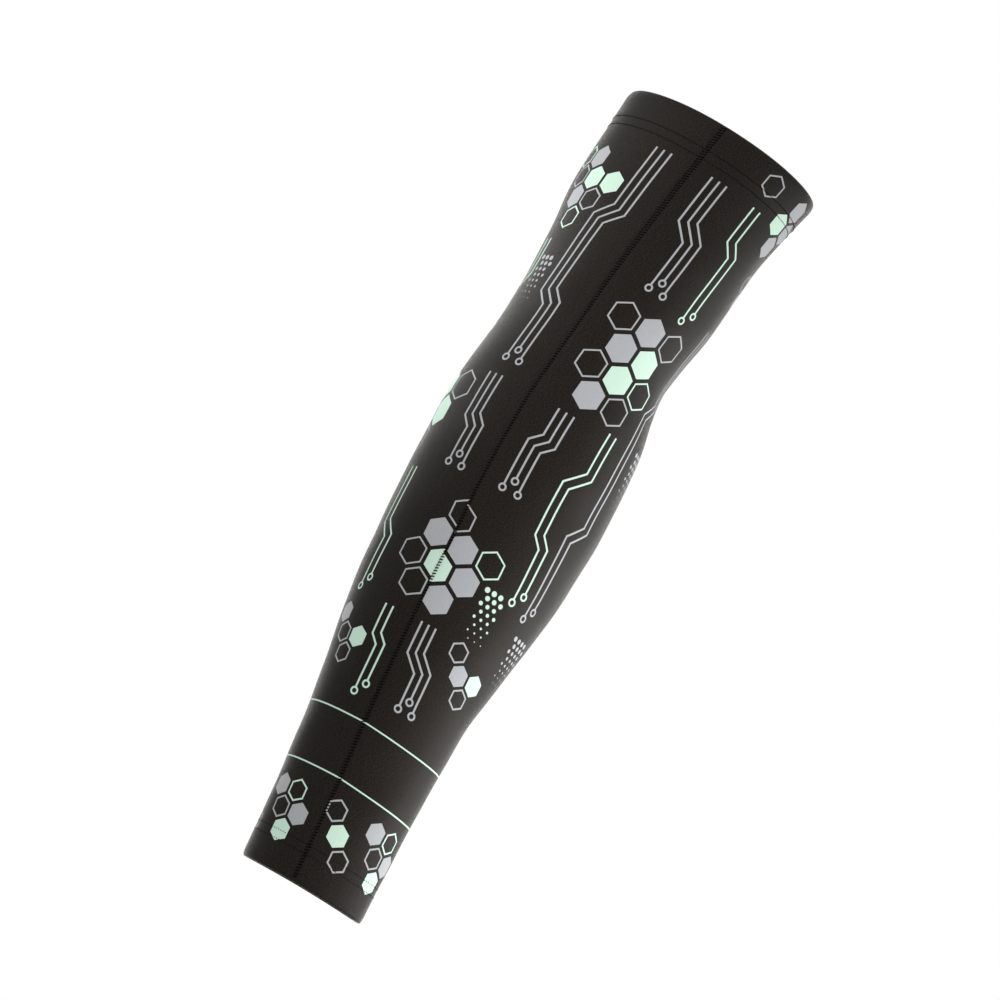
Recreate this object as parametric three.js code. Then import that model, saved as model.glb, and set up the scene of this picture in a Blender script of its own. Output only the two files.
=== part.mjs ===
// A knitted compression sleeve for one arm: a panel rolled into a tube, a seam strip and two folded hems.
// Millimetres, +Z towards the shoulder. The origin is the middle of the upper rim, and the seam faces -Y.
import * as THREE from 'three';
import { LoftGeometry } from 'three/addons/geometries/LoftGeometry.js';

// Driving dimensions
const SLEEVE_LENGTH = 400;
const WALL = 1;
const FIT_GAP = 0.3;
const HEM_OUTER_DEPTH = 15;
const HEM_INNER_DEPTH = 19;
const SEAM_WIDTH = 3.2;
const SEAM_THICKNESS = 0.6;
const SEAM_END_MARGIN = 1.5;

// How finely the surfaces are divided
const STEPS_AROUND = 46;
const PANEL_ROWS = 30;
const HEM_ROWS = 3;
const FOLD_STEPS = 6;
const SEAM_STEPS = 60;

// The arm's form, one row for each level below the upper rim.
// Half sizes are of the outer skin. The seam's turn is in degrees from the front, positive towards +X.
const SECTIONS = [
  { down: 0, halfWidth: 51.0, halfDepth: 45.0, centreX: 0.0, centreY: 0.0, seamTurn: -4 },
  { down: 24, halfWidth: 49.0, halfDepth: 44.8, centreX: -3.5, centreY: 0.2, seamTurn: -4.6 },
  { down: 48, halfWidth: 47.6, halfDepth: 44.4, centreX: -5.8, centreY: 0.6, seamTurn: -6.2 },
  { down: 84, halfWidth: 44.7, halfDepth: 43.8, centreX: -6.5, centreY: 1.2, seamTurn: -11.8 },
  { down: 114, halfWidth: 42.2, halfDepth: 43.5, centreX: -9.0, centreY: 1.6, seamTurn: -12.5 },
  { down: 130, halfWidth: 43.5, halfDepth: 43.5, centreX: -9.1, centreY: 1.2, seamTurn: -14 },
  { down: 154, halfWidth: 46.9, halfDepth: 43.8, centreX: -8.5, centreY: 0.4, seamTurn: -16.3 },
  { down: 190, halfWidth: 47.9, halfDepth: 43.0, centreX: -7.6, centreY: -0.8, seamTurn: -17.5 },
  { down: 232, halfWidth: 45.9, halfDepth: 40.5, centreX: -7.4, centreY: -1.2, seamTurn: -15.7 },
  { down: 268, halfWidth: 41.7, halfDepth: 36.2, centreX: -8.2, centreY: -1.0, seamTurn: -13.6 },
  { down: 302, halfWidth: 36.5, halfDepth: 31.0, centreX: -7.2, centreY: -0.6, seamTurn: -12.4 },
  { down: 346, halfWidth: 33.2, halfDepth: 27.4, centreX: -4.4, centreY: -0.2, seamTurn: -11 },
  { down: 400, halfWidth: 31.3, halfDepth: 25.0, centreX: -1.0, centreY: 0.0, seamTurn: -10.3 },
];

// How each rim departs from a level ring: its slopes along X and Y in degrees, how far its sides hang
// below its front and back, and the length of sleeve over which this fades out.
const RIMS = [
  { down: 0, slopeX: -1.9, slopeY: 0, sideDip: 0, fade: 70 },
  { down: SLEEVE_LENGTH, slopeX: -1.4, slopeY: 4, sideDip: 1, fade: 50 },
];

const COLUMNS = ['halfWidth', 'halfDepth', 'centreX', 'centreY', 'seamTurn'];
const levels = SECTIONS.map((row) => row.down);
const values = SECTIONS.flatMap((row) => COLUMNS.map((name) => row[name]));
const armForm = new THREE.CubicInterpolant(levels, values, COLUMNS.length, new Float64Array(COLUMNS.length));

function sectionAt(down) {
  const row = armForm.evaluate(down);
  return Object.fromEntries(COLUMNS.map((name, i) => [name, row[i]]));
}

const slope = (degrees) => Math.tan(THREE.MathUtils.degToRad(degrees));

function rimRise(down, x, y, angle) {
  const rises = RIMS.map((rim) => {
    const share = 1 - THREE.MathUtils.smoothstep(Math.abs(down - rim.down), 0, rim.fade);
    const tilt = x * slope(rim.slopeX) + y * slope(rim.slopeY);
    return share * (tilt - rim.sideDip * Math.sin(angle) ** 2);
  });
  return rises.reduce((sum, rise) => sum + rise);
}

// A point `inset` mm inside the outer skin. `turn` runs once around from the seam, in radians.
function skinPoint(down, turn, inset) {
  const at = sectionAt(down);
  const angle = THREE.MathUtils.degToRad(at.seamTurn) + turn;
  const x = at.centreX + (at.halfWidth - inset) * Math.sin(angle);
  const y = at.centreY - (at.halfDepth - inset) * Math.cos(angle);
  return new THREE.Vector3(x, y, rimRise(down, x, y, angle) - down);
}

// The angle that `width` mm takes up on the front of the sleeve.
function turnFor(width, down) {
  return width / sectionAt(down).halfWidth;
}

const steps = (count) => Array.from({ length: count + 1 }, (_, i) => i / count);
const run = (from, to, count) => steps(count).map((t) => THREE.MathUtils.lerp(from, to, t));

// Sweeps a closed wall profile around the arm, from one side of the slit at the seam to the other.
function rolledWall(profile) {
  const sections = steps(STEPS_AROUND).map((t) =>
    profile.map(({ down, inset }) => {
      const slit = turnFor(FIT_GAP, down);
      return skinPoint(down, slit / 2 + t * (2 * Math.PI - slit), inset);
    }),
  );
  return new LoftGeometry(sections, { closed: true, capStart: true, capEnd: true });
}

function panelProfile() {
  const first = HEM_OUTER_DEPTH + FIT_GAP;
  const outer = run(first, SLEEVE_LENGTH - first, PANEL_ROWS).map((down) => ({ down, inset: 0 }));
  const inner = outer.map(({ down }) => ({ down, inset: WALL })).reverse();
  return [...outer, ...inner];
}

// Two plies joined by a round fold at the rim, as depths from the rim and insets from the outer skin.
function hemProfile() {
  const foldRadius = WALL + FIT_GAP / 2;
  const ply = (from, to, inset) => run(from, to, HEM_ROWS).map((depth) => ({ depth, inset }));
  const fold = (radius, count) => steps(count).slice(1, -1).map((t) => ({
    depth: foldRadius - radius * Math.sin(Math.PI * t),
    inset: foldRadius + radius * Math.cos(Math.PI * t),
  }));
  return [
    ...ply(HEM_INNER_DEPTH, foldRadius, 2 * foldRadius),
    ...fold(foldRadius, FOLD_STEPS),
    ...ply(foldRadius, HEM_OUTER_DEPTH, 0),
    ...ply(HEM_OUTER_DEPTH, foldRadius, WALL),
    ...fold(FIT_GAP / 2, FOLD_STEPS / 2).reverse(),
    ...ply(foldRadius, HEM_INNER_DEPTH, WALL + FIT_GAP),
  ];
}

// A flat strip that rides just above the slit and follows it from rim to rim.
function seamStrip() {
  const corners = [
    { side: -0.5, lift: FIT_GAP },
    { side: 0.5, lift: FIT_GAP },
    { side: 0.5, lift: FIT_GAP + SEAM_THICKNESS },
    { side: -0.5, lift: FIT_GAP + SEAM_THICKNESS },
  ];
  const sections = run(SEAM_END_MARGIN, SLEEVE_LENGTH - SEAM_END_MARGIN, SEAM_STEPS).map((down) =>
    corners.map(({ side, lift }) => skinPoint(down, turnFor(side * SEAM_WIDTH, down), -lift)),
  );
  return new LoftGeometry(sections, { closed: true, capStart: true, capEnd: true });
}

const hem = hemProfile();
const upperHem = hem.map(({ depth, inset }) => ({ down: depth, inset }));
const wristHem = hem.map(({ depth, inset }) => ({ down: SLEEVE_LENGTH - depth, inset })).reverse();

const knit = { color: 0x2a2725, roughness: 0.85, metalness: 0 };
const thread = { color: 0x161514, roughness: 0.7, metalness: 0 };

const group = new THREE.Group();
function addPiece(name, geometry, finish) {
  const piece = new THREE.Mesh(geometry, new THREE.MeshStandardMaterial(finish));
  piece.name = name;
  group.add(piece);
}

addPiece('sleeve_panel', rolledWall(panelProfile()), knit);
addPiece('upper_hem', rolledWall(upperHem), knit);
addPiece('wrist_hem', rolledWall(wristHem), knit);
addPiece('flatlock_seam', seamStrip(), thread);

export default group;
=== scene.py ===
import math

import bmesh
import bpy
import numpy as np
from mathutils import Matrix, Vector
from mathutils.geometry import delaunay_2d_cdt
from mathutils.kdtree import KDTree


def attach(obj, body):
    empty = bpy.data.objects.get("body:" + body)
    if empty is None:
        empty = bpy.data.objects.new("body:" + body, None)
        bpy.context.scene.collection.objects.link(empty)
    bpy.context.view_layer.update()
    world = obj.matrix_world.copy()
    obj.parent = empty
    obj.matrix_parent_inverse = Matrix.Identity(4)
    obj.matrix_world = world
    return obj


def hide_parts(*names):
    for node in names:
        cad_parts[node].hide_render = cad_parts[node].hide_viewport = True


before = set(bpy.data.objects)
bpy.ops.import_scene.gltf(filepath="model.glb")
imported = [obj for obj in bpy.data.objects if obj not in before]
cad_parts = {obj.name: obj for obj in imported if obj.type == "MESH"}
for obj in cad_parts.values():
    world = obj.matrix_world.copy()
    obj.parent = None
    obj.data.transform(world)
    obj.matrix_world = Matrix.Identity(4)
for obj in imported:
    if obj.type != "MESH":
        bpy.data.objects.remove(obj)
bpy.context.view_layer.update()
scene = bpy.context.scene
mm = 0.001  # sizes are in millimetres, apart from the lamps', and Blender works in metres

# Camera: a long lens below the middle, looking up a little and rolled so the sleeve leans to the right
shot = {"aim": (-9.62, 0.0, -197.57), "distance": 2500.0, "lookUp": 9.3, "lean": 29.5, "lens": 193.4}
lookUp = math.radians(shot["lookUp"])
lean = math.radians(shot["lean"])
forward = Vector((0, math.cos(lookUp), math.sin(lookUp)))
level = Vector((1, 0, 0))
plumb = Vector((0, -math.sin(lookUp), math.cos(lookUp)))
cameraRight = level * math.cos(lean) + plumb * math.sin(lean)
cameraUp = plumb * math.cos(lean) - level * math.sin(lean)
camera = bpy.data.objects.new("camera", bpy.data.cameras.new("camera"))
scene.collection.objects.link(camera)
camera.data.lens = shot["lens"]
camera.matrix_world = Matrix((cameraRight, cameraUp, -forward)).transposed().to_4x4()
camera.location = Vector(shot["aim"]) * mm - forward * shot["distance"] * mm
scene.camera = camera
print("camera set")

# Arm form, the same rows as the CAD: half sizes of the outer skin, its middle, and the seam's turn in degrees
sleeveLength = 400.0
armForm = {
    "down": (0, 24, 48, 84, 114, 130, 154, 190, 232, 268, 302, 346, 400),
    "halfWidth": (51.0, 49.0, 47.6, 44.7, 42.2, 43.5, 46.9, 47.9, 45.9, 41.7, 36.5, 33.2, 31.3),
    "halfDepth": (45.0, 44.8, 44.4, 43.8, 43.5, 43.5, 43.8, 43.0, 40.5, 36.2, 31.0, 27.4, 25.0),
    "centreX": (0.0, -3.5, -5.8, -6.5, -9.0, -9.1, -8.5, -7.6, -7.4, -8.2, -7.2, -4.4, -1.0),
    "centreY": (0.0, 0.2, 0.6, 1.2, 1.6, 1.2, 0.4, -0.8, -1.2, -1.0, -0.6, -0.2, 0.0),
    "seamTurn": (-4, -4.6, -6.2, -11.8, -12.5, -14, -16.3, -17.5, -15.7, -13.6, -12.4, -11, -10.3),
}
rimForm = (  # tilt of each rim in degrees, how far its sides hang, and the length over which that fades
    {"down": 0, "slopeX": -1.9, "slopeY": 0, "sideDip": 0, "fade": 70},
    {"down": sleeveLength, "slopeX": -1.4, "slopeY": 4, "sideDip": 1, "fade": 50},
)


def fadeOut(share):  # from 1 smoothly down to 0
    share = np.clip(share, 0, 1)
    return 1 - share * share * (3 - 2 * share)


def slopeOf(degrees):
    return math.tan(math.radians(degrees))


def unit(vectors):
    return vectors / np.linalg.norm(vectors, axis=-1, keepdims=True)


def formAt(name, down):  # smooth curve through the column's values, with free ends
    x = np.array(armForm["down"], float)
    y = np.array(armForm[name], float)
    slope = np.empty_like(y)
    slope[1:-1] = (y[2:] - y[:-2]) / (x[2:] - x[:-2])
    slope[0] = 1.5 * (y[1] - y[0]) / (x[1] - x[0]) - 0.5 * slope[1]
    slope[-1] = 1.5 * (y[-1] - y[-2]) / (x[-1] - x[-2]) - 0.5 * slope[-2]
    i = np.clip(np.searchsorted(x, down) - 1, 0, len(x) - 2)
    h = x[i + 1] - x[i]
    p = (down - x[i]) / h
    q = 1 - p
    return (y[i] * q * q * (1 + 2 * p) + y[i + 1] * p * p * (1 + 2 * q)
            + h * p * q * (slope[i] * q - slope[i + 1] * p))


def skinAt(down, angle, inset):  # point on the arm form, angle from the front towards +X
    x = formAt("centreX", down) + (formAt("halfWidth", down) - inset) * np.sin(angle)
    y = formAt("centreY", down) - (formAt("halfDepth", down) - inset) * np.cos(angle)
    rise = np.zeros_like(x)
    for rim in rimForm:
        share = fadeOut(np.abs(down - rim["down"]) / rim["fade"])
        tilt = x * slopeOf(rim["slopeX"]) + y * slopeOf(rim["slopeY"])
        rise += share * (tilt - rim["sideDip"] * np.sin(angle) ** 2)
    return np.stack((x, y, rise - down), axis=-1)


# Tables of the girth and of the angle that each share of the girth reaches, counted from the seam
tables = {"levels": 161, "shares": 241, "sweepPoints": 721}
tableLevels = np.linspace(0, sleeveLength, tables["levels"])
tableShares = np.linspace(0, 1, tables["shares"])


def makeGirthTables():
    girths = []
    angles = []
    for down in tableLevels:
        sweep = np.radians(formAt("seamTurn", down)) + np.linspace(0, 2 * np.pi, tables["sweepPoints"])
        across = formAt("halfWidth", down) * np.sin(sweep)
        deep = formAt("halfDepth", down) * np.cos(sweep)
        ring = np.stack((across, deep), axis=1)
        run = np.concatenate(((0.0,), np.cumsum(np.linalg.norm(np.diff(ring, axis=0), axis=1))))
        girths.append(run[-1])
        angles.append(np.interp(tableShares, run / run[-1], sweep))
    return np.array(girths), np.array(angles)


girthTable, angleTable = makeGirthTables()


def girthAt(down):
    return np.interp(down, tableLevels, girthTable)


def angleAt(down, around):  # blends the table's four nearest values, just short of its last row and column
    lastRow = len(tableLevels) - 1
    lastColumn = len(tableShares) - 1
    row = np.clip(np.asarray(down) / sleeveLength * lastRow, 0, lastRow - 0.001)
    whole = np.floor(around)
    column = np.clip((around - whole) * lastColumn, 0, lastColumn - 0.0001)
    i = row.astype(int)
    j = column.astype(int)
    a = row - i
    b = column - j
    low = angleTable[i, j] * (1 - b) + angleTable[i, j + 1] * b
    high = angleTable[i + 1, j] * (1 - b) + angleTable[i + 1, j + 1] * b
    return low * (1 - a) + high * a + 2 * np.pi * whole


# Relief of the worn cloth over the arm form
hems = {
    "upperRows": (14.7, 19.1),  # stitch rows below the upper rim
    "wristRows": (13.4, 17.4),  # stitch rows above the wrist rim
    "depth": 19.8,  # turned-in ply
    "bulge": 0.15,  # the band stands proud as far as its first row
    "bulgePast": 0.8,  # the bulge ends this far past that row
    "bulgeFade": 0.3,
    "edgeRidge": 0.05,  # raw edge of the turned-in ply
    "edgeFade": 0.4,
    "upperCurl": 1.0,  # the rim curls in by this much
    "wristCurl": 0.5,
    "curlReach": 4.2,
    "upperGroove": 0.05,
    "wristGroove": 0.03,
    "grooveWidth": 0.45,
}
fall = {
    "crease": 0.15,  # at the inner bend of the elbow
    "creaseDown": 115.0,
    "creaseLength": 3.5,
    "creaseFocus": 6,  # the higher, the less far it runs around
    "waves": ((3, 61.0, 0.4), (5, 43.0, 2.1), (7, 97.0, 4.0), (2, 29.0, 5.2)),  # count around, length, phase
    "waveHeight": 0.08,
    "seamValley": 0.16,
    "valleyWidth": 0.9,
    "seamRidge": 0.08,
    "ridgeAway": 2.6,
    "ridgeWidth": 1.1,
    "rimLean": 0.6,  # the upper rim leans towards the inner side of the arm
    "rimTilt": -1.0,  # degrees
    "rimFade": 45.0,
    # the join wanders beside its middle line
    "joinShift": {"down": (0, 12, 24, 45, 70, 110, 270, 330, 360, 400),
                  "value": (-0.9, -0.75, -0.4, -0.15, -0.15, -0.8, -0.75, -1.6, -0.75, -0.6)},
}


def reliefAt(down, around):
    fromSeam = np.abs(around - np.round(around)) * girthAt(down)
    bump = np.zeros(np.broadcast(down, around).shape)
    for end, depth in (("upper", down), ("wrist", sleeveLength - down)):
        rows = hems[end + "Rows"]
        bump += hems["bulge"] / (1 + np.exp((depth - rows[0] - hems["bulgePast"]) / hems["bulgeFade"]))
        bump -= hems[end + "Curl"] * np.clip(1 - depth / hems["curlReach"], 0, 1) ** 2
        bump += hems["edgeRidge"] / (1 + np.exp((depth - hems["depth"]) / hems["edgeFade"]))
        for row in rows:
            bump -= hems[end + "Groove"] * np.exp(-((depth - row) / hems["grooveWidth"]) ** 2)
    # flatlock: the two edges lie low under the thread, with a soft ridge on either side
    bump -= fall["seamValley"] * np.exp(-(fromSeam / fall["valleyWidth"]) ** 2)
    bump += fall["seamRidge"] * np.exp(-((fromSeam - fall["ridgeAway"]) / fall["ridgeWidth"]) ** 2)
    # inner bend of the elbow
    inner = np.clip(np.sin(angleAt(down, around)), 0, 1) ** fall["creaseFocus"]
    bump -= fall["crease"] * inner * np.exp(-((down - fall["creaseDown"]) / fall["creaseLength"]) ** 2)
    # slow unevenness of stretched knit
    for count, length, phase in fall["waves"]:
        bump += fall["waveHeight"] * np.sin(2 * np.pi * (count * around + down / length) + phase)
    return bump


def clothAt(down, around, inset=0.0):
    down, around = np.broadcast_arrays(np.asarray(down, float), np.asarray(around, float))
    share = fadeOut(down / fall["rimFade"])
    shift = np.interp(down, fall["joinShift"]["down"], fall["joinShift"]["value"])
    angle = angleAt(down, around) + shift / formAt("halfWidth", down)
    points = skinAt(down, angle, inset - reliefAt(down, around))
    points[..., 2] += share * points[..., 0] * slopeOf(fall["rimTilt"])
    points[..., 0] += share * fall["rimLean"]
    return points


def clothNormal(down, around, inset=0.0):
    aside = 4e-4  # share of the girth
    below = 0.1
    across = clothAt(down, around + aside, inset) - clothAt(down, around - aside, inset)
    along = clothAt(down + below, around, inset) - clothAt(down - below, around, inset)
    return unit(np.cross(along, across))


# Print: shapes are laid out flat in mm from an upright line, their anchor, at a share of the girth,
# then pressed onto the cloth
printLayout = {
    "edgeStep": 1.8,  # outlines are divided this finely so that they follow the arm
    "seamMargin": 0.0004,  # share of the girth left plain at each edge of the panel
    "line": 0.95,
    "outline": 0.9,
    "cellFill": 0.87,
    "stagger": 5.0,  # every other line of a bundle ends higher
    "pad": {"radius": 2.0, "width": 0.9, "corners": 16, "overlap": 0.2},
    "dot": {"corners": 12, "shrink": 0.78, "rowPitch": 0.87},
    "ringSag": 2.4,  # the rings run lower on the inner side of the arm
    "ringPoints": 97,
}
honeycombs = (  # letters: S and M are silver and mint cells, s and m their outlines
    {"anchor": 1.0, "corner": (-65.0, 30.0), "cell": 7.0, "rows": ("mS.", "sMM", ".Ss", ".m.")},
    {"anchor": 0.0, "corner": (30.0, 3.0), "cell": 7.4, "rows": ("s.S.", ".MSs", "..S.")},
    {"anchor": 0.0, "corner": (8.5, 92.0), "cell": 9.0, "rows": ("sSs", "SM.", "sMm", "Ss.")},
    {"anchor": 1.0, "corner": (-70.0, 138.0), "cell": 9.6, "rows": ("M.", "Ms", ".M", "s.")},
    {"anchor": 0.0, "corner": (-21.5, 212.0), "cell": 8.4, "rows": (".s.", "SSm", "sMS", "sS")},
    {"anchor": 1.0, "corner": (-21.5, 209.6), "cell": 8.4, "rows": (".s.", "SSm", "sMS", "sS")},
    {"anchor": 0.0, "corner": (22.0, 268.0), "cell": 6.0, "rows": ("s.", "SM", ".s")},
    {"anchor": 0.0, "corner": (66.0, 46.0), "cell": 6.0, "rows": ("s.", "SM", ".s")},
    {"anchor": 1.0, "corner": (-42.0, 274.0), "cell": 6.0, "rows": ("S.", "sM", ".s")},
    {"anchor": 0.5, "corner": (-34.0, 64.0), "cell": 8.0,
     "rows": ("..s..", ".SMs", "s.SSm", ".mSs", "..s..")},
    {"anchor": 0.5, "corner": (-28.0, 206.0), "cell": 7.0, "rows": (".s.S", "MSs", ".sSM", "Ss.", "..m")},
)
traces = (  # each bundle of lines runs from its start by steps of across and down
    {"anchor": 0.0, "ink": "silver", "start": (14, 24), "lines": 3, "gap": 4.0,
     "steps": ((0, 24), (8, 8), (0, 26))},
    {"anchor": 0.0, "ink": "mint", "start": (38, 24), "lines": 2, "gap": 4.6,
     "steps": ((0, 20), (6, 6), (0, 36))},
    {"anchor": 0.0, "ink": "silver", "start": (67.5, 82), "lines": 2, "gap": 4.0,
     "steps": ((0, 44), (-7, 7), (0, 62), (-8, 8), (0, 40))},
    {"anchor": 0.0, "ink": "mint", "start": (46, 151), "lines": 2, "gap": 4.4,
     "steps": ((0, 23), (-9, 9), (0, 26), (5, 5), (0, 26))},
    {"anchor": 0.0, "ink": "silver", "start": (20, 154), "lines": 3, "gap": 4.0,
     "steps": ((0, 16), (-5, 5), (0, 22))},
    {"anchor": 0.0, "ink": "silver", "start": (9, 270), "lines": 3, "gap": 3.6,
     "steps": ((0, 14), (7, 7), (0, 17))},
    {"anchor": 1.0, "ink": "silver", "start": (-16, 24), "lines": 3, "gap": 4.0,
     "steps": ((0, 34), (-7, 7), (0, 40), (6, 6), (0, 30))},
    {"anchor": 1.0, "ink": "mint", "start": (-48, 80), "lines": 2, "gap": 4.6,
     "steps": ((0, 18), (-7, 7), (0, 26))},
    {"anchor": 1.0, "ink": "silver", "start": (-20, 152), "lines": 3, "gap": 3.8,
     "steps": ((0, 22), (5, 5), (0, 18))},
    {"anchor": 1.0, "ink": "mint", "start": (-40, 206), "lines": 2, "gap": 4.4,
     "steps": ((0, 28), (7, 7), (0, 24))},
    {"anchor": 1.0, "ink": "silver", "start": (-74, 48), "lines": 2, "gap": 3.8,
     "steps": ((0, 66), (-6, 6), (0, 76), (12, 12), (0, 70), (8, 8), (0, 16))},
    {"anchor": 1.0, "ink": "mint", "start": (-12, 270), "lines": 2, "gap": 4.0,
     "steps": ((0, 14), (4, 4), (0, 22))},
    {"anchor": 0.5, "ink": "silver", "start": (16, 130), "lines": 3, "gap": 4.0,
     "steps": ((0, 22), (-9, 9), (0, 40))},
    {"anchor": 0.5, "ink": "mint", "start": (-24, 122), "lines": 2, "gap": 4.6,
     "steps": ((0, 34), (6, 6), (0, 38))},
    {"anchor": 0.5, "ink": "silver", "start": (-8, 25), "lines": 3, "gap": 4.0,
     "steps": ((0, 12), (-6, 6), (0, 14))},
    {"anchor": 0.5, "ink": "mint", "start": (4, 266), "lines": 2, "gap": 4.0,
     "steps": ((0, 14), (7, 7), (0, 22))},
    {"anchor": 0.5, "ink": "silver", "start": (-14, 262), "lines": 2, "gap": 3.8,
     "steps": ((0, 22), (5, 5), (0, 20))},
)
dotFades = (
    {"anchor": 0.0, "ink": "mint", "corner": (26.0, 243.0),
     "across": 3, "rows": 8, "pitch": 3.8, "largest": 1.35},
    {"anchor": 1.0, "ink": "silver", "corner": (-42.0, 90.0),
     "across": 3, "rows": 8, "pitch": 3.6, "largest": 1.25},
    {"anchor": 0.0, "ink": "silver", "corner": (70.0, 150.0),
     "across": 5, "rows": 9, "pitch": 3.6, "largest": 1.25},
    {"anchor": 0.0, "ink": "silver", "corner": (53.0, 254.0),
     "across": 4, "rows": 8, "pitch": 3.6, "largest": 1.25},
    {"anchor": 0.5, "ink": "silver", "corner": (24.0, 166.0),
     "across": 5, "rows": 8, "pitch": 3.6, "largest": 1.25},
    {"anchor": 0.5, "ink": "mint", "corner": (-52.0, 40.0),
     "across": 5, "rows": 7, "pitch": 3.6, "largest": 1.25},
)
rings = ({"down": 322.5, "width": 0.7}, {"down": 350.2, "width": 0.7})
wristBand = {"count": 17, "down": 363.5, "fill": 0.86, "rows": ("s.Sm..", "M.sS.m", ".s.M.s")}
pressed = []  # (ink, outline as shares of the girth and mm down)


def clipSide(points, limit, keepAbove):  # cuts the outline off at an upright line
    kept = []
    for a, b in zip(points, points[1:] + points[:1]):
        insideA, insideB = ((p[0] >= limit) == keepAbove for p in (a, b))
        if insideA:
            kept.append(a)
        if insideA != insideB:
            share = (limit - a[0]) / (b[0] - a[0])
            kept.append((limit, a[1] + share * (b[1] - a[1])))
    return kept


def press(ink, anchor, outline):
    fine = []
    outline = [np.array(p, float) for p in outline]
    for a, b in zip(outline, outline[1:] + outline[:1]):
        parts = max(1, math.ceil(np.linalg.norm(b - a) / printLayout["edgeStep"]))
        fine += [a + (b - a) * i / parts for i in range(parts)]
    points = [(anchor + x / girthAt(down), down) for x, down in fine]
    margin = printLayout["seamMargin"]
    points = clipSide(clipSide(points, margin, True), 1 - margin, False)
    if len(points) > 2:
        pressed.append((ink, points))


def moveAside(points, shift):  # a line beside the given one, with mitred corners
    p = np.array(points, float)
    step = unit(np.diff(p, axis=0))
    side = np.stack((step[:, 1], -step[:, 0]), axis=1)
    before = np.vstack((side[:1], side))
    after = np.vstack((side, side[-1:]))
    mitre = before + after
    return p + shift * mitre / (mitre * after).sum(axis=1, keepdims=True)


def pressLine(ink, anchor, points, width):
    press(ink, anchor, [*moveAside(points, width / 2), *moveAside(points, -width / 2)[::-1]])


def corners(centre, radius, count):
    turns = 2 * np.pi * np.arange(count) / count
    return [(centre[0] + radius * math.sin(t), centre[1] - radius * math.cos(t)) for t in turns]


def pressRing(ink, anchor, centre, radius, width, count):
    outer = corners(centre, radius, count)
    inner = corners(centre, radius - width, count)
    for i in range(count):
        k = (i + 1) % count
        press(ink, anchor, [outer[i], outer[k], inner[k], inner[i]])


def pressCell(letter, anchor, centre, radius):
    if letter == ".":
        return
    ink = {"s": "silver", "m": "mint"}[letter.lower()]
    sides = 6
    if letter.isupper():
        press(ink, anchor, corners(centre, radius, sides))
    else:
        pressRing(ink, anchor, centre, radius, printLayout["outline"], sides)


def layComb(comb):
    cell = comb["cell"]
    left, top = comb["corner"]
    for r, row in enumerate(comb["rows"]):
        for c, letter in enumerate(row):
            centre = (left + (c + 0.5 * (r % 2) + 0.5) * math.sqrt(3) * cell, top + (1.5 * r + 1) * cell)
            pressCell(letter, comb["anchor"], centre, printLayout["cellFill"] * cell)


def layTrace(trace):
    pad = printLayout["pad"]
    line = [np.array(trace["start"], float)]
    for step in trace["steps"]:
        line.append(line[-1] + np.array(step, float))
    for i in range(trace["lines"]):
        beside = moveAside(line, (i - (trace["lines"] - 1) / 2) * trace["gap"])
        beside[-1, 1] -= printLayout["stagger"] * (i % 2)
        pressLine(trace["ink"], trace["anchor"], beside, printLayout["line"])
        centre = (beside[-1, 0], beside[-1, 1] + pad["radius"] - pad["overlap"])
        pressRing(trace["ink"], trace["anchor"], centre, pad["radius"], pad["width"], pad["corners"])


def layFade(fade):
    dot = printLayout["dot"]
    left, top = fade["corner"]
    for r in range(fade["rows"]):
        radius = fade["largest"] * (1 - dot["shrink"] * r / (fade["rows"] - 1))
        for c in range(fade["across"]):
            centre = (left + (c + 0.5 * (r % 2)) * fade["pitch"], top + dot["rowPitch"] * r * fade["pitch"])
            press(fade["ink"], fade["anchor"], corners(centre, radius, dot["corners"]))


def layRing(ring):
    shares = np.linspace(0, 1, printLayout["ringPoints"])
    dips = ring["down"] + printLayout["ringSag"] * np.clip(np.sin(2 * np.pi * shares), 0, 1)
    pressLine("mint", 0.0, [(s * girthAt(d), d) for s, d in zip(shares, dips)], ring["width"])


def layBand(band):
    cell = girthAt(band["down"]) / band["count"] / math.sqrt(3)
    for r, row in enumerate(band["rows"]):
        for c in range(band["count"]):
            anchor = (c + 0.5 * (r % 2) + 0.5) / band["count"]
            centre = (0, band["down"] + 1.5 * r * cell)
            pressCell(row[c % len(row)], anchor, centre, band["fill"] * cell)


for lay, shapes in ((layComb, honeycombs), (layTrace, traces), (layFade, dotFades), (layRing, rings)):
    for shape in shapes:
        lay(shape)
layBand(wristBand)
print("print laid out:", len(pressed), "shapes")


def makePiece(name, points, faces, mapName, spread, looks=None, weld=None):  # points and map are in mm
    mesh = bpy.data.meshes.new(name)
    mesh.from_pydata((points * mm).tolist(), [], faces)
    if looks is not None:
        mesh.polygons.foreach_set("material_index", looks.astype(np.int32))
    loops = np.empty(len(mesh.loops), np.int32)
    mesh.loops.foreach_get("vertex_index", loops)
    mesh.uv_layers.new(name=mapName).data.foreach_set("uv", spread[loops].ravel())
    work = bmesh.new()
    work.from_mesh(mesh)
    if weld is not None:
        bmesh.ops.remove_doubles(work, verts=work.verts, dist=weld * mm)
    bmesh.ops.recalc_face_normals(work, faces=work.faces)
    openEdges = sum(1 for e in work.edges if not e.is_manifold)
    work.to_mesh(mesh)
    work.free()
    mesh.shade_smooth()
    piece = bpy.data.objects.new(name, mesh)
    scene.collection.objects.link(piece)
    print(name + ":", len(mesh.polygons), "faces,", openEdges, "open edges")
    return piece


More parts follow.
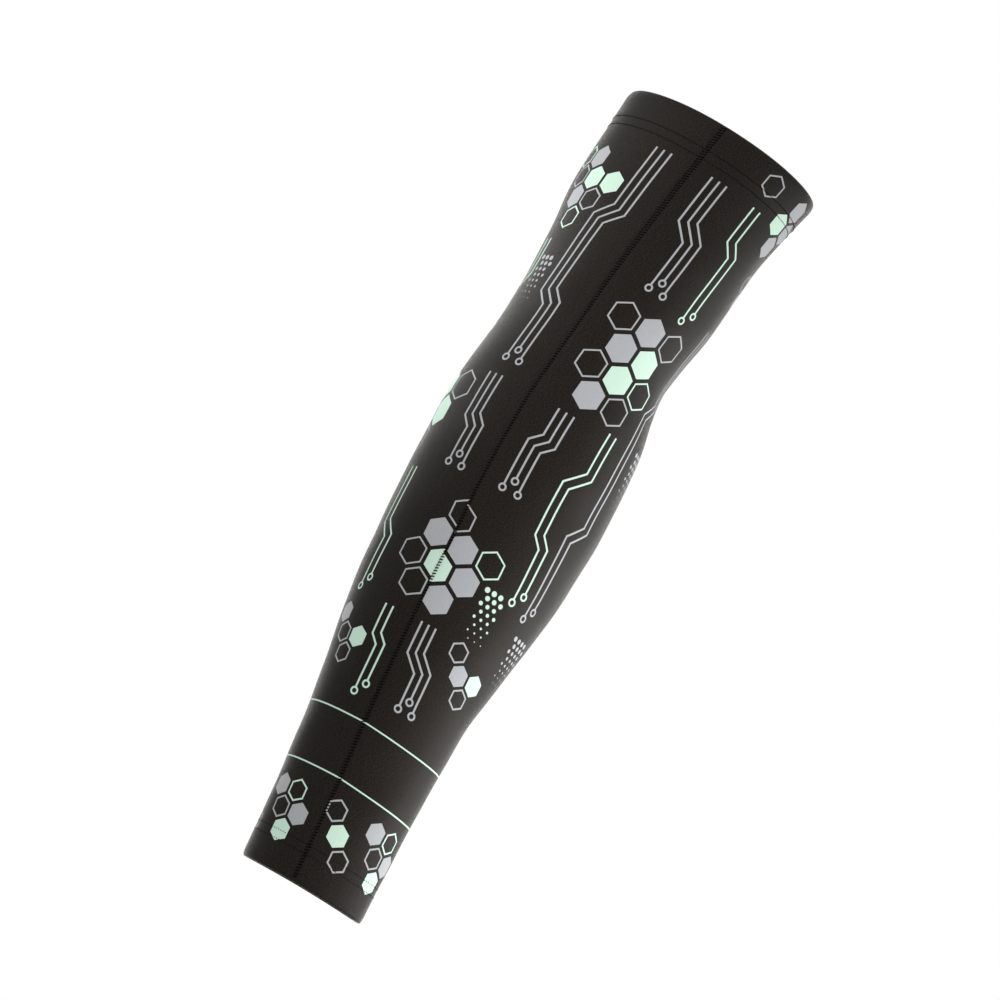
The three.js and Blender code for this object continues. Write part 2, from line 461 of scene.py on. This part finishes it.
# Cloth: one closed skin, the printed face outside, folded over at both rims and plain inside
cloth = {
    "ply": 0.8,
    "hemInset": 1.75,  # inner face of the turned-in ply
    "foldStart": 2.4,  # where the round of the rim begins
    "foldPoints": 9,
    "rimRows": 11,  # rows of the inside, from the rim, that look like the face
    "columns": 150,
    "rowStep": 2.3,
    "hemRowStep": 0.55,
    "hemRowsTo": 21.0,  # rows are this fine as far as here
    "hemDepths": (3, 6, 9, 12, 15, 17, 18.6),  # rows of the turned-in ply
    "rawEdge": ((0.0, 0.12), (0.02, 0.4)),  # how its edge rounds off: further down and further out
    "rawEdgeEnd": 0.1,
    "insideFrom": 20.5,
    "insideStep": 5.0,
    "seamColumns": (0.9, 1.9, 3.0, 4.3),  # finer columns beside the seam
    "seamGap": 0.6,  # from the last of them to the even columns
    "clearance": 0.75,  # plain points keep this far from the print's outlines
    "flatGirth": 262.0,  # width of the flat layout while the faces are cut
    "weld": 0.004,
}
plainFace, mintFace, silverFace, insideFace = range(4)


def outerRows():
    first = cloth["foldStart"]
    last = cloth["hemRowsTo"]
    hem = np.linspace(first, last, round((last - first) / cloth["hemRowStep"]))
    middle = np.linspace(last, sleeveLength - last, round((sleeveLength - 2 * last) / cloth["rowStep"]))
    return np.concatenate((hem, middle[1:-1], sleeveLength - hem[::-1]))


def rowShares(down, shift):  # even columns, and finer ones beside the seam
    n = cloth["columns"]
    girth = girthAt(down)
    reach = (cloth["seamColumns"][-1] + cloth["seamGap"]) / girth
    even = [(j + shift) / n for j in range(n) if reach < (j + shift) / n < 1 - reach]
    return even + [(side * d / girth) % 1.0 for d in cloth["seamColumns"] for side in (1, -1)]


def cutFaces():  # the flat panel divided along the print's outlines
    rows = outerRows()
    wide = cloth["flatGirth"]
    points = []
    shapes = []
    for ink, outline in pressed:
        area = sum(a[0] * b[1] - b[0] * a[1] for a, b in zip(outline, outline[1:] + outline[:1]))
        outline = outline if area > 0 else outline[::-1]
        shapes.append(list(range(len(points), len(points) + len(outline))))
        points += [(share * wide, down) for share, down in outline]
    near = KDTree(len(points))
    for i, (x, y) in enumerate(points):
        near.insert((x, y, 0), i)
    near.balance()
    evenShares = [j / cloth["columns"] for j in range(cloth["columns"] + 1)]
    for k, down in enumerate(rows):
        edge = k in (0, len(rows) - 1)
        shares = evenShares if edge else rowShares(down, 0.5 * (k % 2))
        for share in sorted({0.0, 1.0, *shares}):
            spot = (share * wide, down, 0)
            if edge or share in (0.0, 1.0) or near.find(spot)[2] > cloth["clearance"]:
                points.append(spot[:2])
    made = delaunay_2d_cdt([Vector(p) for p in points], [], shapes, 0, 1e-6)
    flat = np.array([tuple(v) for v in made[0]])
    faces = np.array(made[2])
    owners = made[5]
    inkFace = {"mint": mintFace, "silver": silverFace}
    looks = np.array([inkFace[pressed[max(o)][0]] if o else plainFace for o in owners])
    return flat[:, 0] / wide, flat[:, 1], faces, looks


def insidePath():  # (down, inset) from the upper fold, along the inside, to the wrist fold
    inset = cloth["hemInset"]
    radius = inset / 2
    start = cloth["foldStart"]
    turns = np.linspace(0, np.pi, cloth["foldPoints"])
    hem = [(start, 0.0), (0.5 * (start + radius), 0.0)]
    hem += [(radius * (1 - math.sin(t)), radius * (1 - math.cos(t))) for t in turns]
    hem += [(depth, inset) for depth in cloth["hemDepths"]]
    hem += [(hems["depth"] + further, inset - out) for further, out in cloth["rawEdge"]]
    hem.append((hems["depth"] + cloth["rawEdgeEnd"], cloth["ply"]))
    first = cloth["insideFrom"]
    runs = np.linspace(first, sleeveLength - first, round((sleeveLength - 2 * first) / cloth["insideStep"]))
    middle = [(down, cloth["ply"]) for down in runs]
    wrist = [(sleeveLength - down, inside) for down, inside in hem[::-1]]
    return np.array([*hem, *middle, *wrist])


def makeCloth():
    shares, downs, faces, looks = cutFaces()
    path = insidePath()
    n = cloth["columns"]
    stripShares, stripDowns = np.meshgrid(np.arange(n + 1) / n, path[:, 0])
    stripInsets = np.repeat(path[:, 1], n + 1)
    base = len(shares)
    at = base + np.arange(len(path) * (n + 1)).reshape(len(path), n + 1)
    strip = np.stack((at[:-1, :-1], at[:-1, 1:], at[1:, 1:], at[1:, :-1]), axis=-1).reshape(-1, 4)
    stripLooks = np.full((len(path) - 1, n), insideFace)
    stripLooks[:cloth["rimRows"]] = plainFace
    stripLooks[-cloth["rimRows"]:] = plainFace
    allShares = np.concatenate((shares, stripShares.ravel()))
    allDowns = np.concatenate((downs, stripDowns.ravel()))
    allInsets = np.concatenate((np.zeros(base), stripInsets))
    allFaces = [*faces.tolist(), *strip[:, ::-1].tolist()]
    allLooks = np.concatenate((looks, stripLooks.ravel()))
    points = clothAt(allDowns, allShares, allInsets)
    spread = np.stack((allShares * girthAt(allDowns), allDowns), axis=1)  # mm across and down the panel
    return makePiece("sleeve_cloth", points, allFaces, "panelMm", spread, allLooks, cloth["weld"])


sleeveCloth = makeCloth()

# Thread: every stitch is a short rounded length that rises from one needle hole and dives into the next
stitchForm = {"taper": (0.45, 0.95, 1, 1, 0.95, 0.45), "sides": 6, "mapLength": 1.6}
flatlock = {
    "pitch": 1.42,
    "endMargin": 1.6,
    "slant": 0.36,  # rise to the right for each mm across
    "bend": 0.05,  # the legs start this share of their reach away from the middle
    # the thread is drawn over to the right below the elbow
    "reachDown": (0, 60, 110, 270, 330, 360, 400),
    "rightReach": (1.45, 1.45, 1.35, 1.35, 2.1, 1.6, 1.9),
    "leftReach": (1.45, 1.45, 0.3, 0.3, 0.5, 0.3, 0.4),
    "rightLeg": {"radius": 0.29, "lift": 0.2, "sink": 0.16},
    "leftLeg": {"radius": 0.22, "lift": 0.16, "sink": 0.16},
}
ladder = {"pitch": 1.42, "halfWidth": 1.3, "radius": 0.17, "lift": 0.12, "sink": 0.12, "endMargin": 19.5}
hemStitch = {
    "upper": {"pitch": 1.46, "length": 0.74, "radius": 0.25, "lift": 0.04, "sink": 0.2},
    "wrist": {"pitch": 1.46, "length": 0.7, "radius": 0.19, "lift": 0.03, "sink": 0.2},
}
hemLoops = {"pitch": 1.6, "radius": 0.16, "lift": 0.1, "sink": 0.1}


def makeStitches(name, starts, ends, look, inset=0.0, outward=1.0):
    taper = np.array(stitchForm["taper"])
    sides = stitchForm["sides"]
    steps = np.linspace(0, 1, len(taper))
    starts = np.array(starts, float)[:, None, :]
    ends = np.array(ends, float)[:, None, :]
    spots = starts + (ends - starts) * steps[:, None]
    downs = spots[..., 0]
    shares = spots[..., 1]
    normal = clothNormal(downs, shares, inset) * outward
    bow = look["lift"] - (look["lift"] + look["sink"]) * (2 * steps - 1) ** 4
    line = clothAt(downs, shares, inset) + normal * bow[:, None]
    along = unit(np.gradient(line, axis=1))
    side = unit(np.cross(along, normal))
    top = np.cross(side, along)
    turns = 2 * np.pi * np.arange(sides) / sides
    outline = np.cos(turns)[:, None] * side[:, :, None, :] + np.sin(turns)[:, None] * top[:, :, None, :]
    points = line[:, :, None, :] + (look["radius"] * taper)[:, None, None] * outline
    count = len(points)
    at = np.arange(count * len(taper) * sides).reshape(count, len(taper), sides)
    turned = np.roll(at, -1, axis=2)
    walls = np.stack((at[:, :-1], turned[:, :-1], turned[:, 1:], at[:, 1:]), axis=-1).reshape(-1, 4)
    faces = [*walls.tolist(), *at[:, 0, ::-1].tolist(), *at[:, -1].tolist()]
    lengthwise = steps[:, None] * stitchForm["mapLength"]
    crosswise = np.arange(sides) * look["radius"]
    spread = np.stack(np.broadcast_arrays(lengthwise, crosswise), axis=-1).reshape(-1, 2)
    return makePiece(name, points.reshape(-1, 3), faces, "threadMm", np.tile(spread, (count, 1)))


def seamLegs(side):  # each stitch bends at the middle of the seam, between a left and a right leg
    reaches = flatlock["rightReach" if side > 0 else "leftReach"]
    starts = []
    ends = []
    for down in np.arange(flatlock["endMargin"], sleeveLength - flatlock["endMargin"], flatlock["pitch"]):
        reach = side * np.interp(down, flatlock["reachDown"], reaches)
        starts.append((down, flatlock["bend"] * reach / girthAt(down)))
        ends.append((down - flatlock["slant"] * reach, reach / girthAt(down)))
    return starts, ends


def ladderRungs():  # looper thread that crosses behind the seam
    downs = np.arange(ladder["endMargin"], sleeveLength - ladder["endMargin"], ladder["pitch"])
    return tuple([(d, side * ladder["halfWidth"] / girthAt(d)) for d in downs] for side in (-1, 1))


def hemRow(down, look):
    count = round(girthAt(down) / look["pitch"])
    reach = 0.5 * look["length"] / look["pitch"] / count
    middles = (np.arange(count) + 0.5) / count
    return [(down, m - reach) for m in middles], [(down, m + reach) for m in middles]


def loopRow(upper, lower, look):  # looper thread that crosses between two needle rows inside the hem
    count = 2 * round(girthAt(upper) / look["pitch"])
    starts = []
    ends = []
    for i in range(count):
        a, b = (upper, lower) if i % 2 else (lower, upper)
        starts.append((a, i / count))
        ends.append((b, (i + 1) / count))
    return starts, ends


seamPieces = [
    makeStitches("flatlock_right_legs", *seamLegs(1), flatlock["rightLeg"]),
    makeStitches("flatlock_left_legs", *seamLegs(-1), flatlock["leftLeg"]),
    makeStitches("flatlock_ladder", *ladderRungs(), ladder, cloth["ply"], -1.0),
]
hemPieces = []
wristRows = tuple(sleeveLength - row for row in hems["wristRows"])
for end, rows in (("upper", hems["upperRows"]), ("wrist", wristRows)):
    starts = []
    ends = []
    for row in rows:
        rowStarts, rowEnds = hemRow(row, hemStitch[end])
        starts += rowStarts
        ends += rowEnds
    hemPieces.append(makeStitches(end + "_hem_stitches", starts, ends, hemStitch[end]))
    starts, ends = loopRow(*rows, hemLoops)
    hemPieces.append(makeStitches(end + "_hem_loops", starts, ends, hemLoops, cloth["hemInset"], -1.0))
print("stitches made")


def linear(hexColour):  # sRGB hex to the linear values that Blender's sockets take
    parts = [int(hexColour[i:i + 2], 16) / 255 for i in (1, 3, 5)]
    return (*(p / 12.92 if p <= 0.04045 else ((p + 0.055) / 1.055) ** 2.4 for p in parts), 1.0)


def addNode(tree, kind, inputs=None, **settings):
    node = tree.nodes.new(kind)
    for name, value in settings.items():
        setattr(node, name, value)
    for socket, value in (inputs or {}).items():
        if isinstance(value, bpy.types.NodeSocket):
            tree.links.new(value, node.inputs[socket])
        else:
            node.inputs[socket].default_value = value
    return node


def newMaterial(name):
    material = bpy.data.materials.new(name)
    material.use_nodes = True
    material.node_tree.nodes.clear()
    return material, material.node_tree


# Warp knit of nylon and elastane: upright V loops in mm, as wide and tall as when stretched on an arm
knit = {
    "wale": 0.7,
    "course": 0.5,
    "loopSlant": 1.3,
    "courseShare": 0.35,  # of a loop's height, the rest is the yarn's round
    "loopHeight": 0.06,
    "fleckAcross": 0.9,
    "fleckDown": 0.42,
    "fleckRange": (0.3, 0.7),
}


def knitLoops(tree):  # loop height and melange flecks from the panel's mm map
    panel = addNode(tree, "ShaderNodeUVMap", uv_map="panelMm")
    split = addNode(tree, "ShaderNodeSeparateXYZ", {0: panel.outputs[0]})
    wale = addNode(tree, "ShaderNodeMath", {0: split.outputs[0], 1: 1 / knit["wale"]}, operation="MULTIPLY")
    fold = addNode(tree, "ShaderNodeMath", {0: wale.outputs[0], 1: 0.5}, operation="PINGPONG")
    slant = addNode(tree, "ShaderNodeMath", {0: fold.outputs[0], 1: knit["loopSlant"]}, operation="MULTIPLY")
    course = addNode(tree, "ShaderNodeMath", {
        0: split.outputs[1], 1: 1 / knit["course"], 2: slant.outputs[0]}, operation="MULTIPLY_ADD")
    phase = addNode(tree, "ShaderNodeMath", {0: course.outputs[0], 1: 2 * math.pi}, operation="MULTIPLY")
    loop = addNode(tree, "ShaderNodeMath", {0: phase.outputs[0]}, operation="SINE")
    flank = addNode(tree, "ShaderNodeMath", {0: fold.outputs[0], 1: 2 * math.pi}, operation="MULTIPLY")
    yarn = addNode(tree, "ShaderNodeMath", {0: flank.outputs[0]}, operation="SINE")
    height = addNode(tree, "ShaderNodeMath", {
        0: loop.outputs[0], 1: knit["courseShare"], 2: yarn.outputs[0]}, operation="MULTIPLY_ADD")
    stretch = addNode(tree, "ShaderNodeVectorMath", {
        0: panel.outputs[0], 1: (1 / knit["fleckAcross"], 1 / knit["fleckDown"], 1)}, operation="MULTIPLY")
    fleck = addNode(tree, "ShaderNodeTexNoise", {
        "Vector": stretch.outputs[0], "Scale": 1.0, "Detail": 1.0, "Roughness": 0.6})
    return height.outputs[0], fleck.outputs[0]


def knitMaterial(name, look):
    material, tree = newMaterial(name)
    height, fleck = knitLoops(tree)
    # painted shade: the loops' height darkens the base colour in the valleys between the yarns; the melange
    # flecks added to it are the yarn's own colour
    loopShadeAndFleck = addNode(tree, "ShaderNodeMath", {
        0: height, 1: look["loopShadeShare"], 2: fleck}, operation="MULTIPLY_ADD")
    ramp = addNode(tree, "ShaderNodeValToRGB", {0: loopShadeAndFleck.outputs[0]})
    for stop, place, colour in zip(ramp.color_ramp.elements, look["ramp"], (look["dark"], look["light"])):
        stop.position = place
        stop.color = linear(colour)
    fleckLow, fleckHigh = knit["fleckRange"]
    smoothest, roughest = look["rough"]
    rough = addNode(tree, "ShaderNodeMapRange", {
        0: fleck, 1: fleckLow, 2: fleckHigh, 3: smoothest, 4: roughest})
    bump = addNode(tree, "ShaderNodeBump", {
        "Height": height, "Strength": look["bump"], "Distance": knit["loopHeight"] * mm})
    shader = addNode(tree, "ShaderNodeBsdfPrincipled", {
        "Base Color": ramp.outputs[0], "Roughness": rough.outputs[0], "Normal": bump.outputs[0],
        "IOR": 1.5, "Specular IOR Level": look["gloss"], "Sheen Weight": look["sheen"],
        "Sheen Roughness": look["sheenRough"], "Sheen Tint": linear(look["sheenTint"]),
        "Specular Tint": linear(look["glossTint"])})
    addNode(tree, "ShaderNodeOutputMaterial", {0: shader.outputs[0]})
    return material


# Dyed nylon yarn: warm black, matt face on, with a pale glow of loose fibre at glancing angles; the valleys
# between its loops are painted darker as shade
blackKnit = {"dark": "#030302", "light": "#241f1c", "rough": (0.5, 0.6), "gloss": 0.135, "sheen": 1.0,
             "sheenRough": 0.2, "sheenTint": "#f4f2ee", "glossTint": "#fff5ec", "loopShadeShare": 0.12,
             "ramp": (0.5, 0.8), "bump": 0.55}
# The same yarn's loop side, a little greyer and rougher, with the same painted shade between its loops
blackReverse = {"dark": "#1a1816", "light": "#262422", "rough": (0.75, 0.9), "gloss": 0.1, "sheen": 0.3,
                "sheenRough": 0.45, "sheenTint": "#f4f2ee", "glossTint": "#fff5ec", "loopShadeShare": 0.16,
                "ramp": (0.5, 0.7), "bump": 0.6}
# Transfer ink on the yarn: even flat colour that lets the loops show through, as bumps and as painted shade
# in their valleys
mintInk = {"dark": "#b5cfbf", "light": "#bed7c7", "rough": (0.55, 0.65), "gloss": 0.12, "sheen": 0.06,
           "sheenRough": 0.4, "sheenTint": "#ffffff", "glossTint": "#ffffff", "loopShadeShare": 0.12,
           "ramp": (0.5, 0.7), "bump": 0.35}
silverInk = {"dark": "#989a9d", "light": "#a0a2a6", "rough": (0.5, 0.62), "gloss": 0.16, "sheen": 0.06,
             "sheenRough": 0.4, "sheenTint": "#ffffff", "glossTint": "#ffffff", "loopShadeShare": 0.12,
             "ramp": (0.5, 0.7), "bump": 0.35}
# in the order of plainFace, mintFace, silverFace and insideFace
for name, look in (("nylon_elastane_knit", blackKnit), ("mint_transfer_ink", mintInk),
                   ("silver_transfer_ink", silverInk), ("nylon_elastane_knit_reverse", blackReverse)):
    sleeveCloth.data.materials.append(knitMaterial(name, look))

# Twisted polyester sewing thread: black, smoother than the knit, with the slant of its plies and painted
# shade in the grooves between them
blackThread = {"dark": "#020202", "light": "#080706", "plyPitch": 0.25, "plySlant": 35, "plyHeight": 0.04,
               "bump": 0.5, "rough": 0.6, "gloss": 0.02}


def threadMaterial(look):
    material, tree = newMaterial("polyester_sewing_thread")
    bandPitch = 0.3125  # between the wave node's bands at a scale of 1
    spread = addNode(tree, "ShaderNodeUVMap", uv_map="threadMm")
    slant = addNode(tree, "ShaderNodeMapping", {
        "Vector": spread.outputs[0], "Rotation": (0, 0, math.radians(look["plySlant"]))})
    ply = addNode(tree, "ShaderNodeTexWave", {
        "Vector": slant.outputs[0], "Scale": bandPitch / look["plyPitch"], "Distortion": 0.4, "Detail": 1.0})
    # painted shade: the ply bands' height darkens the colour in the grooves between the plies
    ramp = addNode(tree, "ShaderNodeValToRGB", {0: ply.outputs[1]})
    for stop, colour in zip(ramp.color_ramp.elements, (look["dark"], look["light"])):
        stop.color = linear(colour)
    bump = addNode(tree, "ShaderNodeBump", {
        "Height": ply.outputs[1], "Strength": look["bump"], "Distance": look["plyHeight"] * mm})
    shader = addNode(tree, "ShaderNodeBsdfPrincipled", {
        "Base Color": ramp.outputs[0], "Roughness": look["rough"], "Normal": bump.outputs[0], "IOR": 1.5,
        "Specular IOR Level": look["gloss"]})
    addNode(tree, "ShaderNodeOutputMaterial", {0: shader.outputs[0]})
    return material


sewingThread = threadMaterial(blackThread)
for piece in (*seamPieces, *hemPieces):
    piece.data.materials.append(sewingThread)
print("materials made")

# Frame: the cloth and its threads ride on the one body
for piece in (sleeveCloth, *seamPieces, *hemPieces):
    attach(piece, "root")
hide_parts("sleeve_panel", "upper_hem", "wrist_hem")
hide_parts("flatlock_seam")
print("pieces put in the frame")

# Studio: white surround, pale floor and soft boxes at both sides
studio = {"floorDown": 1600.0, "floorReach": 40000.0, "floorColour": "#ebebe8", "floorGrain": 40.0,
          "floorRough": (0.75, 0.85), "surround": 1.0}
lamps = (  # metres, with turn in degrees from the front, positive to the right, and spread in degrees
    {"name": "right_softbox", "turn": 113, "away": 0.45, "height": -0.24, "aim": -0.24,
     "size": (0.5, 0.4), "spread": 40, "watts": 0.41},
    {"name": "right_front_softbox", "turn": 66, "away": 0.6, "height": -0.33, "aim": -0.28,
     "size": (0.3, 0.4), "spread": 52, "watts": 0.36},
    {"name": "left_high_softbox", "turn": -120, "away": 0.5, "height": -0.1, "aim": -0.1,
     "size": (0.35, 0.1), "spread": 26, "watts": 0.085},
    {"name": "left_front_softbox", "turn": -56, "away": 0.7, "height": 0.08, "aim": -0.07,
     "size": (0.2, 0.2), "spread": 26, "watts": 0.074},
    {"name": "left_low_softbox", "turn": -150, "away": 1.5, "height": -0.5, "aim": -0.3,
     "size": (0.5, 1.0), "spread": 180, "watts": 3.2},
)
scene.view_settings.view_transform = "Standard"
world = bpy.data.worlds.new("white_surround")
scene.world = world
world.use_nodes = True
background = world.node_tree.nodes["Background"]
background.inputs[0].default_value = (1, 1, 1, 1)
background.inputs[1].default_value = studio["surround"]
for lamp in lamps:
    light = bpy.data.lights.new(lamp["name"], "AREA")
    light.shape = "RECTANGLE"
    light.size, light.size_y = lamp["size"]
    light.spread = math.radians(lamp["spread"])
    light.energy = lamp["watts"]
    holder = bpy.data.objects.new(lamp["name"], light)
    turn = math.radians(lamp["turn"])
    holder.location = (lamp["away"] * math.sin(turn), -lamp["away"] * math.cos(turn), lamp["height"])
    towards = Vector((0, 0, lamp["aim"])) - holder.location
    holder.rotation_euler = towards.to_track_quat("-Z", "Y").to_euler()
    scene.collection.objects.link(holder)

# Matt floor: a pale ground with a faint change of roughness
floorMaterial, floorTree = newMaterial("pale_matt_floor")
floorGrain = addNode(floorTree, "ShaderNodeTexNoise", {"Scale": studio["floorGrain"]})
floorRough = addNode(floorTree, "ShaderNodeMapRange", {
    0: floorGrain.outputs[0], 3: studio["floorRough"][0], 4: studio["floorRough"][1]})
floorShader = addNode(floorTree, "ShaderNodeBsdfPrincipled", {
    "Base Color": linear(studio["floorColour"]), "Roughness": floorRough.outputs[0]})
addNode(floorTree, "ShaderNodeOutputMaterial", {0: floorShader.outputs[0]})
floorMesh = bpy.data.meshes.new("floor")
reach = studio["floorReach"] * mm
floorEdge = [(x * reach, y * reach, -studio["floorDown"] * mm)
             for x, y in ((-1, -1), (1, -1), (1, 1), (-1, 1))]
floorMesh.from_pydata(floorEdge, [], [(0, 1, 2, 3)])
floorMesh.materials.append(floorMaterial)
floor = bpy.data.objects.new("floor", floorMesh)
scene.collection.objects.link(floor)
print("studio set")
